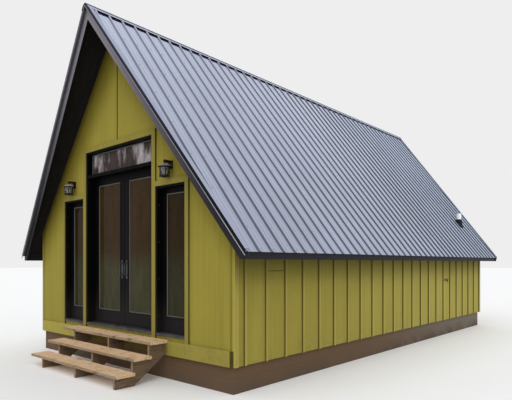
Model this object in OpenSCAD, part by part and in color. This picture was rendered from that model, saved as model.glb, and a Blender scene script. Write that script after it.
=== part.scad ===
// A small A-frame cabin: a steep gable roof of ribbed metal sheet on low board-and-batten side walls.
// Millimetres. X runs across the front, Y from the front gable to the rear one, Z up from the ground.

/* [Walls] */
// Width over the side walls' battens
wall_w = 5150; // [4600:10:5600]
// Length between the faces of the two gable walls
wall_l = 9210; // [8200:10:9900]
// Thickness of the gable walls and the side walls
wall_t = 180; // [150:5:220]
// Height of the siding's lower edge above the ground
siding_z = 342; // [250:10:450]
// Height of the finished floor above the ground
floor_z = 600; // [560:5:620]
// Height of the skirt band along the foot of the gable walls
band_h = 200; // [120:2:230]
// Thickness of the skirt bands and of the boards round the door and its side lights
trim_t = 25; // [15:1:40]
// Distance between the battens on the side walls
batten_pitch = 406.4; // [300:0.1:600]
// Width of one batten
batten_w = 40; // [25:1:60]

/* [Roof] */
// Height of the sheet's flat at the ridge
ridge_z = 5490; // [5000:5:5800]
// Half width of the roof at its eaves
eave_x = 2955; // [2900:5:3050]
// Rise of the roof for each unit across
roof_rise = 1.264; // [1.2:0.001:1.3]
// Front overhang of the rake boards at the ridge
front_over_top = 503; // [250:1:700]
// Front overhang of the rake boards at the eaves
front_over_foot = 178; // [120:1:240]
// Rear overhang of the rake boards at the ridge
rear_over_top = 600; // [250:1:700]
// Rear overhang of the rake boards at the eaves
rear_over_foot = 40; // [30:1:240]
// Distance between the sheet's main ribs
rib_pitch = 228.6; // [150:0.1:300]
// Height of a main rib
rib_h = 19; // [12:1:30]

/* [Doorway] */
// Clear width between the green boards of the doorway
door_open_w = 1840; // [1700:5:1900]
// Height of the doorway's head above the ground, over the transom
door_head_z = 3480; // [3400:5:3520]
// Height of a door leaf's upper edge above the ground
leaf_top_z = 3055; // [2950:5:3060]
// Height of a side light's head above the ground
side_head_z = 2720; // [2600:5:2740]
// Width of a side light's opening
side_open_w = 650; // [500:5:660]
// Width of the green board between the doorway and a side light
post_trim_w = 85; // [60:1:100]

/* [Steps] */
// Length of a tread
tread_l = 2438; // [1800:1:2600]
// Depth of a tread
tread_d = 286; // [250:1:300]
// Thickness of a tread and a stringer
plank_t = 38; // [30:1:45]
// Rise from one tread to the next
step_rise = 185; // [170:1:186]
// Going from one tread to the next
step_run = 265; // [240:1:280]
// Distance of the steps' middle to the right of the door's middle
steps_x = 80; // [0:5:120]

/* [Hidden] */

pitch = atan(roof_rise);
steps_out = tread_d + 2 * step_run + trim_t;
flash_out = 50;
hem_out = 10;
front_y = -(wall_l + rear_over_top + flash_out + hem_out - steps_out) / 2;
rear_y = front_y + wall_l;
half_w = wall_w / 2;
batten_t = 25;
siding_x = half_w - batten_t;
siding_t = 15;
inner_x = siding_x - wall_t;
deck_t = 15;
far = 20000;
past = 10;

// Height of the roof's sheet at x, with t measured square to the slope
function slope_z(x, t = 0) = ridge_z - roof_rise * abs(x) + t / cos(pitch);
// Overhang of a rake at x, between its values at the ridge and at the eave
function over_at(x, top, foot) = top + (foot - top) * abs(x) / eave_x;

// Both halves of something drawn on the +X side
module both_sides() {
    children();
    mirror([1, 0, 0]) children();
}

module on_side(side) {
    mirror([side < 0 ? 1 : 0, 0, 0]) children();
}

// Extrudes an outline of (x, z) points along Y from y0 to y1
module across(y0, y1) {
    translate([0, y1, 0]) rotate([90, 0, 0]) linear_extrude(y1 - y0) children();
}

// Extrudes an outline of (y, z) points along X from x0 to x1
module along_x(x0, x1) {
    translate([x0, 0, 0]) rotate([90, 0, 90]) linear_extrude(x1 - x0) children();
}

// Band of one slope between two depths square to it, from x0 to x1, as an (x, z) outline
module slope_band(x0, x1, t0, t1) {
    polygon([[x0, slope_z(x0, t0)], [x1, slope_z(x1, t0)], [x1, slope_z(x1, t1)], [x0, slope_z(x0, t1)]]);
}

// Plan of the roof's one half, its front and rear edges moved out past the rake boards
module roof_plan(out, x1 = eave_x, x0 = 0) {
    polygon([[x0, front_y - over_at(x0, front_over_top, front_over_foot) - out],
        [x1, front_y - over_at(x1, front_over_top, front_over_foot) - out],
        [x1, rear_y + over_at(x1, rear_over_top, rear_over_foot) + out],
        [x0, rear_y + over_at(x0, rear_over_top, rear_over_foot) + out]]);
}

// Plan of a strip along the front (end -1) or rear (end 1) rake, from a to b outwards of the board's face
module rake_plan(end, a, b) {
    top = end < 0 ? front_over_top : rear_over_top;
    foot = end < 0 ? front_over_foot : rear_over_foot;
    y0 = end < 0 ? front_y : rear_y;
    polygon([[0, y0 + end * (top + a)], [eave_x, y0 + end * (foot + a)],
        [eave_x, y0 + end * (foot + b)], [0, y0 + end * (top + b)]]);
}

// Foundation walls, set back under the siding
found_in = 35;
found_t = 200;
found_top = siding_z + 30;
found_x = siding_x - found_in;

module foundation_ends() color("dimgray") {
    for (y = [front_y + found_in, rear_y - found_in - found_t])
        translate([-found_x, y, 0]) cube([2 * found_x, found_t, found_top]);
}

module foundation_sides() color("dimgray") {
    both_sides() translate([found_x - found_t, front_y + found_in + found_t, 0])
        cube([found_t, wall_l - 2 * found_in - 2 * found_t, found_top]);
}

// Floor deck on joists, which run across between two rim boards
floor_t = 35;
joist_w = 38;
joist_pitch = 610;
joist_h = floor_z - floor_t - found_top;
floor_x = siding_x - siding_t;
floor_y0 = front_y + siding_t;
floor_y1 = rear_y - siding_t;

module floor() color("tan") {
    translate([-floor_x, floor_y0, floor_z - floor_t]) cube([2 * floor_x, floor_y1 - floor_y0, floor_t]);
}

module floor_joists() color("burlywood") {
    x0 = floor_x - joist_w;
    count = floor((floor_y1 - floor_y0 - 2 * joist_w) / joist_pitch);
    for (y = concat([for (i = [0 : count]) floor_y0 + i * joist_pitch], [floor_y1 - joist_w]))
        translate([-x0, y, found_top]) cube([2 * x0, joist_w, joist_h]);
}

module rim_boards() color("burlywood") {
    both_sides() translate([floor_x - joist_w, floor_y0, found_top])
        cube([joist_w, floor_y1 - floor_y0, joist_h]);
}

// Gable walls
door_half = door_open_w / 2;
side_x0 = door_half + post_trim_w;
side_x1 = side_x0 + side_open_w;
seam_w = 16;
seam_d = 12;
sheet_w = 1220;

// Outline of a gable between x0 and x1, from z0 up to the deck's underside
module gable_part(x0, x1, z0) {
    polygon([[x0, z0], [x1, z0], [x1, slope_z(x1, -deck_t)],
        if (x0 < 0 && x1 > 0) [0, slope_z(0, -deck_t)], [x0, slope_z(x0, -deck_t)]]);
}

// Joint between two siding sheets, as a groove in the wall's face at y
module sheet_seam(x, y, z0) {
    translate([x - seam_w / 2, y - seam_d, z0]) cube([seam_w, 2 * seam_d, far]);
}

module front_wall_side(side) on_side(side) color("olive") {
    across(front_y, front_y + wall_t) difference() {
        gable_part(door_half, siding_x, floor_z);
        translate([side_x0, floor_z - past]) square([side_open_w, side_head_z - floor_z + past]);
    }
}

module front_wall_top() color("olive") {
    difference() {
        across(front_y, front_y + wall_t) gable_part(-door_half, door_half, door_head_z);
        sheet_seam(0, front_y, door_head_z);
    }
}

module front_wall_base() color("olive") {
    translate([-siding_x, front_y, siding_z]) cube([2 * siding_x, siding_t, floor_z - siding_z]);
}

module rear_wall() color("olive") {
    difference() {
        union() {
            across(rear_y - wall_t, rear_y) gable_part(-siding_x, siding_x, floor_z);
            translate([-siding_x, rear_y - siding_t, siding_z])
                cube([2 * siding_x, siding_t, floor_z - siding_z]);
        }
        for (x = [-sheet_w, 0, sheet_w]) sheet_seam(x, rear_y, siding_z + band_h);
    }
}

// Side walls
corner_w = 70;
first_batten = 180;
offcut_z = 1518;

module side_wall(side) on_side(side) color("olive") {
    across(front_y + wall_t, rear_y - wall_t)
        polygon([[inner_x, floor_z], [siding_x, floor_z], [siding_x, slope_z(siding_x, -deck_t)],
            [inner_x, slope_z(inner_x, -deck_t)]]);
    translate([siding_x - siding_t, front_y + siding_t, siding_z])
        cube([siding_t, wall_l - 2 * siding_t, floor_z - siding_z]);
}

// One bay of the right wall has a short piece of sheet above a level joint
module right_wall() {
    y0 = front_y + first_batten + batten_pitch + batten_w;
    difference() {
        side_wall(1);
        translate([siding_x - seam_d, y0, offcut_z]) cube([2 * seam_d, batten_pitch - batten_w, seam_w / 2]);
    }
}

// Boards up the side walls, from y0 to y1 behind the front gable's face, under the deck at their tops
module batten(y0, y1) {
    across(front_y + y0, front_y + y1)
        polygon([[siding_x, siding_z], [half_w, siding_z], [half_w, slope_z(half_w, -deck_t)],
            [siding_x, slope_z(siding_x, -deck_t)]]);
}

module wall_battens() color("olive") {
    count = floor((wall_l - first_batten - batten_w) / batten_pitch);
    both_sides() {
        batten(0, corner_w);
        for (i = [0 : count - 1])
            batten(first_batten + i * batten_pitch, first_batten + i * batten_pitch + batten_w);
        batten(first_batten + count * batten_pitch, wall_l);
    }
}

module skirt_bands() color("olive") {
    for (y = [front_y - trim_t, rear_y])
        translate([-half_w + corner_w, y, siding_z]) cube([wall_w - 2 * corner_w, trim_t, band_h]);
}

// Green boards round the door and its side lights
outer_trim_w = 75;
head_trim_h = 75;

module front_trim() color("olive") {
    foot_z = siding_z + band_h;
    translate([0, front_y - trim_t, 0]) {
        translate([-side_x0, 0, door_head_z]) cube([2 * side_x0, trim_t, head_trim_h]);
        both_sides() {
            translate([door_half, 0, foot_z]) cube([post_trim_w, trim_t, door_head_z - foot_z]);
            translate([side_x0, 0, side_head_z]) cube([side_open_w + outer_trim_w, trim_t, head_trim_h]);
            translate([side_x1, 0, foot_z]) cube([outer_trim_w, trim_t, side_head_z - foot_z]);
        }
    }
}

// Roof: rafters and lining as one slab, deck, ribbed sheet
frame_t = 196;
vent_x = 2275;
vent_y = front_y + 8500;
vent_r = 57;
vent_sunk = 150;

module vent_hole() {
    translate([vent_x, vent_y, slope_z(vent_x) - vent_sunk]) cylinder(r = vent_r + 3, h = far, $fn = 48);
}

module roof_frame(side) on_side(side) color("tan") {
    difference() {
        across(front_y + wall_t, rear_y - wall_t) slope_band(0, inner_x, -deck_t - frame_t, -deck_t);
        if (side > 0) vent_hole();
    }
}

rake_board_t = 25;

module roof_deck(side) on_side(side) color("black") {
    difference() {
        intersection() {
            across(-far, far) slope_band(0, eave_x - rake_board_t, -deck_t, 0);
            linear_extrude(far) roof_plan(-rake_board_t);
        }
        if (side > 0) vent_hole();
    }
}

// Ribbed sheet: one outline of its ribs along Y, carried down the slope and cut to the prow-shaped plan
// It starts a little below the ridge, under the cap
sheet_x0 = 52;
sheet_t = 2;
rib_base = 50;
rib_top = 22;
first_rib = 30;
ribs_ahead = 3;
minor_h = 3;
minor_base = 16;
minor_top = 7;

function trapezoid(y, base, top, h) = [[y - base / 2, sheet_t], [y - top / 2, sheet_t + h],
    [y + top / 2, sheet_t + h], [y + base / 2, sheet_t]];
// A main rib and the two low stiffening ribs that follow it
function rib_set(y) = concat(trapezoid(y, rib_base, rib_top, rib_h - sheet_t),
    trapezoid(y + rib_pitch / 3, minor_base, minor_top, minor_h),
    trapezoid(y + 2 * rib_pitch / 3, minor_base, minor_top, minor_h));

module roof_sheet(side) on_side(side) color("lightsteelblue") {
    y0 = front_y + first_rib - ribs_ahead * rib_pitch;
    count = ceil((rear_y + rear_over_top + flash_out - y0) / rib_pitch);
    slope_l = eave_x / cos(pitch);
    difference() {
        intersection() {
            translate([0, 0, ridge_z]) rotate([0, pitch, 0]) rotate([90, 0, 90]) linear_extrude(slope_l)
                polygon(concat([[y0 + count * rib_pitch, 0], [y0 - rib_base, 0], [y0 - rib_base, sheet_t]],
                    [for (i = [0 : count - 1]) each rib_set(y0 + i * rib_pitch)],
                    [[y0 + count * rib_pitch, sheet_t]]));
            linear_extrude(far) roof_plan(flash_out - 2 * sheet_t, 2 * eave_x, sheet_x0);
        }
        if (side > 0) vent_hole();
    }
}

// Folded steel along the rakes: a flange on the ribs, a face and a small hem kicked out at its foot
flange_w = 75;
fold_t = 2;
face_foot = 26;
flange_at = rib_h + 0.5;
// The cap's underside at the ridge
cap_z = ridge_z + 3;

module rake_flashings() color("darkslategray") {
    for (end = [-1, 1]) both_sides() {
        intersection() {
            across(-far, far) slope_band(sheet_x0, eave_x, flange_at, flange_at + fold_t);
            linear_extrude(far) rake_plan(end, flash_out - flange_w, flash_out);
        }
        intersection() {
            across(-far, far) polygon([[0, slope_z(0, -face_foot)], [eave_x, slope_z(eave_x, -face_foot)],
                [eave_x, slope_z(eave_x, flange_at + fold_t)],
                [sheet_x0, slope_z(sheet_x0, flange_at + fold_t)], [0, cap_z - 1]]);
            linear_extrude(far) rake_plan(end, flash_out - fold_t, flash_out);
        }
        intersection() {
            across(-far, far) slope_band(0, eave_x, -face_foot, fold_t - face_foot);
            linear_extrude(far) rake_plan(end, flash_out - fold_t, flash_out + hem_out);
        }
    }
}

// Ridge cap: a blunt top and two wings on the ribs, with a stiffening bead on each wing
cap_x = 95;
cap_at = flange_at + fold_t + 0.5;
cap_knee = sheet_x0 - 6;
bead_x = 62;
bead_w = 9;
bead_h = 4;

module ridge_cap() color("lightsteelblue") {
    across(front_y - front_over_top - flash_out, rear_y + rear_over_top + flash_out) both_sides() {
        polygon([[0, cap_z], [cap_knee, slope_z(cap_knee, cap_at)],
            [cap_knee, slope_z(cap_knee, cap_at + fold_t)], [0, cap_z + fold_t]]);
        slope_band(cap_knee, cap_x, cap_at, cap_at + fold_t);
        slope_band(bead_x, bead_x + bead_w, cap_at, cap_at + fold_t + bead_h);
    }
}

// Rake boards, cut level at their feet like the fascias
rake_board_h = 140;
eave_z = 1670;

module rake_boards(end) color("dimgray") {
    both_sides() intersection() {
        across(-far, far) slope_band(0, eave_x, -rake_board_h, -1);
        linear_extrude(far) rake_plan(end, -rake_board_t, 0);
        translate([0, -far, eave_z]) cube([far, 2 * far, far]);
    }
}

// Open eaves: a fascia under the deck's edge on rafter tails that stand clear of the battens
fascia_t = 20;
fascia_x = eave_x - rake_board_t;
tail_w = 38;
tail_h = 90;
tail_pitch = 1.5 * batten_pitch;
first_tail = first_batten + batten_w / 2 + batten_pitch / 4 - tail_w / 2;

module eaves() color("dimgray") {
    x1 = fascia_x - fascia_t;
    count = ceil((wall_l - first_tail - tail_w) / tail_pitch);
    both_sides() {
        intersection() {
            across(-far, far) polygon([[x1, eave_z], [fascia_x, eave_z],
                [fascia_x, slope_z(fascia_x, -deck_t)], [x1, slope_z(x1, -deck_t)]]);
            linear_extrude(far) roof_plan(-rake_board_t);
        }
        for (i = [0 : count - 1]) intersection() {
            across(front_y + first_tail + i * tail_pitch, front_y + first_tail + i * tail_pitch + tail_w)
                slope_band(siding_x, x1, -deck_t - tail_h, -deck_t);
            translate([0, -far, eave_z]) cube([far, 2 * far, far]);
        }
    }
}

// Door frame: jambs, head, the bar under the transom with its round nosing, stops and the fixed hinge halves
jamb_t = 30;
frame_out = 5;
frame_d = wall_t + frame_out;
stop_y = 127;
stop_w = 12;
leaf_y = 133;
leaf_t = 45;
side_gap = 5.5;
sill_top = 633;
bar_z0 = leaf_top_z + 7;
bar_h = 38;
nosing_r = 11;
pivot_x = door_half - jamb_t - 3;
pivot_y = front_y + leaf_y + leaf_t + 9;
knuckle_r = 7;
knuckle_h = 60;
pin_gap = 1;
hinge_levels = [870, 1600, 2330, 2880];

module door_frame() color("black") {
    clear_w = door_open_w - 2 * jamb_t;
    translate([0, front_y - frame_out, 0]) {
        both_sides() {
            translate([door_half - jamb_t, 0, floor_z]) cube([jamb_t, frame_d, door_head_z - floor_z]);
            translate([door_half - jamb_t - stop_w, 0, sill_top])
                cube([stop_w, stop_y + frame_out, bar_z0 - sill_top]);
        }
        translate([-clear_w / 2, 0, door_head_z - jamb_t]) cube([clear_w, frame_d, jamb_t]);
        translate([-clear_w / 2, 0, bar_z0]) cube([clear_w, frame_d, bar_h]);
        translate([-clear_w / 2, 0, bar_z0 + bar_h / 2]) rotate([0, 90, 0])
            cylinder(r = nosing_r, h = clear_w, $fn = 32);
        translate([-clear_w / 2, 0, bar_z0 - stop_w]) cube([clear_w, stop_y + frame_out, stop_w]);
    }
    both_sides() for (z = hinge_levels, up = [-1, 1]) {
        z0 = z + (up > 0 ? knuckle_h / 2 + pin_gap : -knuckle_h / 2 - pin_gap - knuckle_h / 2);
        translate([pivot_x, pivot_y, z0]) cylinder(r = knuckle_r, h = knuckle_h / 2, $fn = 32);
        translate([pivot_x, front_y + wall_t, z0]) cube([jamb_t, 3, knuckle_h / 2]);
    }
}

// Sills: each has a flat part between the jambs and a sloped nose in front of them
nose_out = 30;

module sill(x0, x1) {
    along_x(x0 + jamb_t, x1 - jamb_t)
        polygon([[front_y - frame_out, floor_z], [front_y + wall_t, floor_z], [front_y + wall_t, sill_top],
            [front_y - frame_out, sill_top]]);
    along_x(x0, x1)
        polygon([[front_y - nose_out, floor_z], [front_y - frame_out, floor_z],
            [front_y - frame_out, sill_top], [front_y - nose_out, floor_z + 12]]);
}

module sills() color("gray") {
    sill(-door_half, door_half);
    both_sides() sill(side_x0, side_x1);
}

module transom_glass() color("lightblue", 0.5) {
    translate([-door_half + jamb_t, front_y + 90, bar_z0 + bar_h])
        cube([door_open_w - 2 * jamb_t, 20, door_head_z - jamb_t - bar_z0 - bar_h]);
}

// A glazed frame of stiles and rails with a moulding round its pane, front face at y = 0
moulding_w = 14;
moulding_out = 5;
glass_t = 20;

module glazed_frame(w, z0, z1, stile, top, bottom) {
    pane_w = w - 2 * stile;
    pane_h = z1 - z0 - top - bottom;
    difference() {
        union() {
            translate([0, 0, z0]) cube([w, leaf_t, z1 - z0]);
            translate([stile - moulding_w, -moulding_out, z0 + bottom - moulding_w])
                cube([pane_w + 2 * moulding_w, moulding_out, pane_h + 2 * moulding_w]);
        }
        translate([stile, -past, z0 + bottom]) cube([pane_w, leaf_t + 2 * past, pane_h]);
    }
}

module pane(w, z0, z1, stile, top, bottom) {
    translate([stile, (leaf_t - glass_t) / 2, z0 + bottom])
        cube([w - 2 * stile, glass_t, z1 - z0 - top - bottom]);
}

// Door leaves
meeting_gap = 9;
leaf_x0 = meeting_gap / 2;
leaf_w = door_half - jamb_t - side_gap - leaf_x0;
leaf_z0 = sill_top + 6;
stile_w = 117;
top_rail = 130;
bottom_rail = 211;

module door_leaf(side) on_side(side) color("black") {
    translate([leaf_x0, front_y + leaf_y, 0])
        glazed_frame(leaf_w, leaf_z0, leaf_top_z, stile_w, top_rail, bottom_rail);
}

module door_glass(side) on_side(side) color("lightblue", 0.5) {
    translate([leaf_x0, front_y + leaf_y, 0])
        pane(leaf_w, leaf_z0, leaf_top_z, stile_w, top_rail, bottom_rail);
}

// Long plates with an upright pull and a lock cylinder on both faces, and the moving hinge halves
handle_x = leaf_x0 + 58;
plate_w = 44;
plate_h = 300;
plate_t = 6;
plate_z = 1525;
pull_half = 92;
pull_r = 9;
pull_out = 45;
lock_up = 124;

module handle_side(out) {
    rotate([out * -90, 0, 0]) {
        for (up = [-1, 1]) translate([0, out * -up * (plate_h - plate_w) / 2, 0])
            cylinder(d = plate_w, h = plate_t, $fn = 40);
        translate([-plate_w / 2, -(plate_h - plate_w) / 2, 0]) cube([plate_w, plate_h - plate_w, plate_t]);
    }
    for (up = [-1, 1]) translate([0, 0, up * pull_half]) {
        rotate([out * -90, 0, 0]) cylinder(r = pull_r + 6, h = plate_t + 4, $fn = 40);
        rotate([out * -90, 0, 0]) cylinder(r = pull_r, h = pull_out, $fn = 32);
        translate([0, out * pull_out, 0]) sphere(r = pull_r, $fn = 32);
    }
    translate([0, out * pull_out, -pull_half]) cylinder(r = pull_r, h = 2 * pull_half, $fn = 32);
    translate([0, 0, lock_up]) rotate([out * -90, 0, 0]) cylinder(r = 14, h = plate_t + 8, $fn = 40);
}

module door_hardware(side) on_side(side) color("black") {
    translate([handle_x, front_y + leaf_y, plate_z]) handle_side(-1);
    translate([handle_x, front_y + leaf_y + leaf_t, plate_z]) handle_side(1);
    for (z = hinge_levels) {
        translate([pivot_x, pivot_y, z - knuckle_h / 2]) cylinder(r = knuckle_r, h = knuckle_h, $fn = 32);
        translate([pivot_x - 30, front_y + leaf_y + leaf_t, z - knuckle_h / 2]) cube([30, 3, knuckle_h]);
    }
}

// Side lights: fixed glazed frames between their own jambs
side_light_y = 90;
side_stile = 91;
side_top_rail = 75;
side_bottom_rail = 228;
side_w = side_open_w - 2 * jamb_t;

module side_lights() color("black") {
    both_sides() {
        across(front_y - frame_out, front_y + wall_t) difference() {
            translate([side_x0, floor_z]) square([side_open_w, side_head_z - floor_z]);
            translate([side_x0 + jamb_t, floor_z - past])
                square([side_w, side_head_z - jamb_t - floor_z + past]);
        }
        translate([side_x0 + jamb_t, front_y + side_light_y, 0])
            glazed_frame(side_w, sill_top, side_head_z - jamb_t, side_stile, side_top_rail, side_bottom_rail);
    }
}

module side_light_glass() color("lightblue", 0.5) {
    both_sides() translate([side_x0 + jamb_t, front_y + side_light_y, 0])
        pane(side_w, sill_top, side_head_z - jamb_t, side_stile, side_top_rail, side_bottom_rail);
}

// Wall lanterns: a back plate, a flat arm, a curved hood and a round cage
lantern_x = 1337;
lantern_z = 2817;
lantern_out = 112;
lantern_r = 71;
lantern_wall = 5;
cage_h = 127;
hood_r = 92;
hood_rise = 46;
hood_curve = (hood_r * hood_r + hood_rise * hood_rise) / (2 * hood_rise);
back_foot = 114;
back_top = 224;
back_w = 84;
back_t = 16;
arm_w = 34;
arm_h = 36;
stem_r = 10;

module lanterns() color("black") both_sides() {
    translate([lantern_x - back_w / 2, front_y - back_t, lantern_z + back_foot])
        cube([back_w, back_t, back_top - back_foot]);
    translate([lantern_x - arm_w / 2, front_y - lantern_out, lantern_z + back_top - arm_h])
        cube([arm_w, lantern_out, arm_h]);
    translate([lantern_x, front_y - lantern_out, lantern_z]) {
        translate([0, 0, back_top - arm_h]) cylinder(r = arm_w / 2, h = arm_h, $fn = 40);
        translate([0, 0, cage_h + hood_rise - 5])
            cylinder(r = stem_r, h = back_top - arm_h - cage_h - hood_rise + 6, $fn = 32);
        translate([0, 0, cage_h]) intersection() {
            translate([0, 0, hood_rise - hood_curve]) sphere(r = hood_curve, $fn = 96);
            cylinder(r = hood_r, h = hood_rise, $fn = 64);
        }
        translate([0, 0, -10]) cylinder(r = lantern_r + 3, h = 10, $fn = 64);
        translate([0, 0, -20]) cylinder(r = 12, h = 12, $fn = 32);
        difference() {
            cylinder(r = lantern_r, h = cage_h, $fn = 64);
            translate([0, 0, -past]) cylinder(r = lantern_r - lantern_wall, h = cage_h + 2 * past, $fn = 64);
            for (a = [0 : 60 : 120]) rotate([0, 0, a])
                translate([-hood_r, -29, 14]) cube([2 * hood_r, 58, cage_h - 28]);
        }
    }
}

module lantern_glass() color("lightblue", 0.5) {
    both_sides() translate([lantern_x, front_y - lantern_out, lantern_z])
        cylinder(r = lantern_r - lantern_wall - 3, h = cage_h - 1, $fn = 48);
}

// Vent pipe through the right slope, in a rubber boot that stands on the ribs
pipe_up = 269;
pipe_wall = 5;
boot_up = 121;
boot_r = 82;
boot_rim = 7;
boot_plate = 125;

module vent_pipe() color("white") {
    translate([vent_x, vent_y, slope_z(vent_x)]) difference() {
        translate([0, 0, -vent_sunk]) cylinder(r = vent_r, h = vent_sunk + pipe_up, $fn = 48);
        translate([0, 0, -vent_sunk - past]) cylinder(r = vent_r - pipe_wall, h = far, $fn = 48);
    }
}

module vent_boot() color("black") {
    difference() {
        union() {
            intersection() {
                translate([vent_x, vent_y, slope_z(vent_x) - boot_up])
                    cylinder(r = boot_r, h = 2 * boot_up - 40, $fn = 48);
                across(-far, far) slope_band(0, eave_x, rib_h + 1, far);
            }
            translate([vent_x, vent_y, slope_z(vent_x)])
                cylinder(r = vent_r + boot_rim, h = boot_up, $fn = 48);
            translate([vent_x, vent_y, slope_z(vent_x)]) rotate([0, pitch, 0])
                translate([-boot_plate, -boot_plate, rib_h + 1]) cube([2 * boot_plate, 2 * boot_plate, 3]);
        }
        translate([vent_x, vent_y, slope_z(vent_x) - far / 2]) cylinder(r = vent_r + 0.5, h = far, $fn = 48);
        across(-far, far) slope_band(0, eave_x, -far, rib_h + 1);
    }
}

// Tap on the right wall
tap_y = front_y + 6820;
tap_z = 1242;

module wall_tap() color("black") {
    translate([siding_x, tap_y, tap_z]) {
        rotate([0, 90, 0]) cylinder(r = 28, h = 6, $fn = 40);
        rotate([0, 90, 0]) cylinder(r = 11, h = 62, $fn = 32);
        translate([62, 0, 0]) sphere(r = 13, $fn = 32);
        translate([62, 0, -48]) cylinder(r = 11, h = 48, $fn = 32);
        translate([62, 0, 0]) cylinder(r = 5, h = 34, $fn = 24);
        translate([62, 0, 30]) cylinder(r = 24, h = 7, $fn = 40);
    }
}

// Steps: plank treads on three sawtooth stringers cut from planks of the treads' width
steps_y = front_y - trim_t;
nosing = 25;
stringer_x = [-800, 205, 1210];
foot_l = 289;

module stair_treads() color("burlywood") {
    for (level = [1 : 3])
        translate([steps_x - tread_l / 2, steps_y - (3 - level) * step_run - tread_d,
            level * step_rise - plank_t]) cube([tread_l, tread_d, plank_t]);
}

module stair_stringers() color("burlywood") {
    front = [for (level = [1 : 3]) steps_y - (3 - level) * step_run - tread_d + nosing];
    seat = [for (level = [1 : 3]) level * step_rise - plank_t];
    back_z = (steps_y - front[0] - foot_l) * step_rise / step_run;
    for (x = stringer_x) along_x(x - plank_t / 2, x + plank_t / 2)
        polygon([[front[0], 0], [front[0], seat[0]], [front[1], seat[0]], [front[1], seat[1]],
            [front[2], seat[1]], [front[2], seat[2]], [steps_y, seat[2]], [steps_y, back_z],
            [front[0] + foot_l, 0]]);
}

foundation_ends();
foundation_sides();
floor();
floor_joists();
rim_boards();
front_wall_side(-1);  // front_wall_left
front_wall_side(1);  // front_wall_right
front_wall_top();
front_wall_base();
rear_wall();
side_wall(-1);  // left_wall
right_wall();
wall_battens();
skirt_bands();
front_trim();
roof_frame(-1);  // left_roof_frame
roof_frame(1);  // right_roof_frame
roof_deck(-1);  // left_roof_deck
roof_deck(1);  // right_roof_deck
roof_sheet(-1);  // left_roof_sheet
roof_sheet(1);  // right_roof_sheet
ridge_cap();
rake_boards(-1);  // front_rake_boards
rake_boards(1);  // rear_rake_boards
rake_flashings();
eaves();
door_frame();
sills();
transom_glass();
door_leaf(-1);  // left_door_leaf
door_glass(-1);  // left_door_glass
door_hardware(-1);  // left_door_hardware
door_leaf(1);  // right_door_leaf
door_glass(1);  // right_door_glass
door_hardware(1);  // right_door_hardware
side_lights();
side_light_glass();
lanterns();
lantern_glass();
vent_pipe();
vent_boot();
wall_tap();
stair_treads();
stair_stringers();
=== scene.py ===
# %% [markdown]
# # Dressing a small A-frame cabin
# The cabin's walls, roof, doors and steps arrive as exact solids from a CAD model. This lesson gives them
# their finishes and adds the small things that a builder fixes on afterwards: roofing screws, foam
# closures, glazing beads, plugs, lantern scrolls and boot rings. Everything is in metres: X across the
# front, Y from the entry gable to the rear one, Z up from the ground.

# %% Load the frame
import bpy
import math
import numpy as np
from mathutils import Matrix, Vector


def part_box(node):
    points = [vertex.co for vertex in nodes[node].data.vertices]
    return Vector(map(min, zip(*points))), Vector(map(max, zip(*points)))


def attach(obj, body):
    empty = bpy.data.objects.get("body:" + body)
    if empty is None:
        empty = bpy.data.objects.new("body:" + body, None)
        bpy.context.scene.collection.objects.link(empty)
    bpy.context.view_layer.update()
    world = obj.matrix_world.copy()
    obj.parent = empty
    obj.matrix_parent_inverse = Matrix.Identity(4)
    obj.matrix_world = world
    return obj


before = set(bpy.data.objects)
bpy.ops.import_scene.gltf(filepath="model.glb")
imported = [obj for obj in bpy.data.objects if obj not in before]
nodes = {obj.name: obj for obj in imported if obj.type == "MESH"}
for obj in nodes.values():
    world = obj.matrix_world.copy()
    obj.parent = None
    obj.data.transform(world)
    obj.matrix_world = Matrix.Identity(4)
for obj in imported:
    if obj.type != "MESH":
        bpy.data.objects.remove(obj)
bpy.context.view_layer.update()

# %% Driving places of the building, read from the frame
X, Y, Z = range(3)
LOW, HIGH = range(2)
front_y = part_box("front_wall_base")[LOW][Y]
rear_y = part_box("rear_wall")[HIGH][Y]
wall_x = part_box("right_wall")[HIGH][X]
eave_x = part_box("rake_flashings")[HIGH][X]
ridge_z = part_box("left_roof_deck")[HIGH][Z]
roof_rise = 1.264  # how far the roof falls over one metre across
pitch = math.atan(roof_rise)
print("front siding at y", round(front_y, 4), "rear siding at y", round(rear_y, 4))

# %% [markdown]
# ## Writing shader maths as Python
# A material is a graph of nodes. Placing Math nodes by hand makes even a simple mask unreadable, so one
# small class wraps a node's output and overloads the operators: an expression such as `1 - stain * 0.4`
# then adds the nodes it needs. A second class holds a node tree and has one method that adds any node. A
# third builds a material on that tree.

# %% A node output that can be used in expressions
def operator(operation):
    """The methods of an operator and of its reflected form: each adds the Math node of this operation."""
    def direct(self, other):
        return self.maths(operation, self, other)

    def reflected(self, other):
        return self.maths(operation, other, self)

    return direct, reflected

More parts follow.
